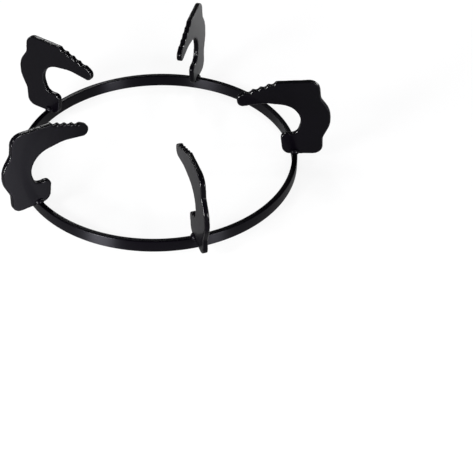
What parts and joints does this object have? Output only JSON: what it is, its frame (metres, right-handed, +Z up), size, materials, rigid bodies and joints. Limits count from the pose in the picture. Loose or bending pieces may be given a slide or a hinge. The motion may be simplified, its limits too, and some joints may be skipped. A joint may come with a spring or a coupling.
{
  "type": "wok ring",
  "caption": "Wok ring for a gas hob: a hoop of flat bar carries upright claw plates whose toothed arms reach inwards and cradle a round-bottomed wok.",
  "frame": {"origin": "on the hoop's axis, level with the hoop's underside, where it stands on the hob", "axes": "+Z up along the hoop's axis, +X towards the claw on the right in the picture, +Y away from the picture's viewer"},
  "size_m": [0.2103, 0.2188, 0.0635],
  "materials": {
    "enamelled_bar": "gloss black enamel over rolled flat bar",
    "enamelled_plate": "gloss black enamel over cut steel plate",
    "enamelled_weld": "gloss black enamel over rough weld metal"
  },
  "bodies": {
    "root": {"ring": "enamelled_bar", "claw_right": "enamelled_plate", "claw_back": "enamelled_plate", "claw_back_left": "enamelled_plate", "claw_left": "enamelled_plate", "claw_front": "enamelled_plate", "weld_right": "enamelled_weld", "weld_back": "enamelled_weld", "weld_back_left": "enamelled_weld", "weld_left": "enamelled_weld", "weld_front": "enamelled_weld"}
  },
  "joints": []
}
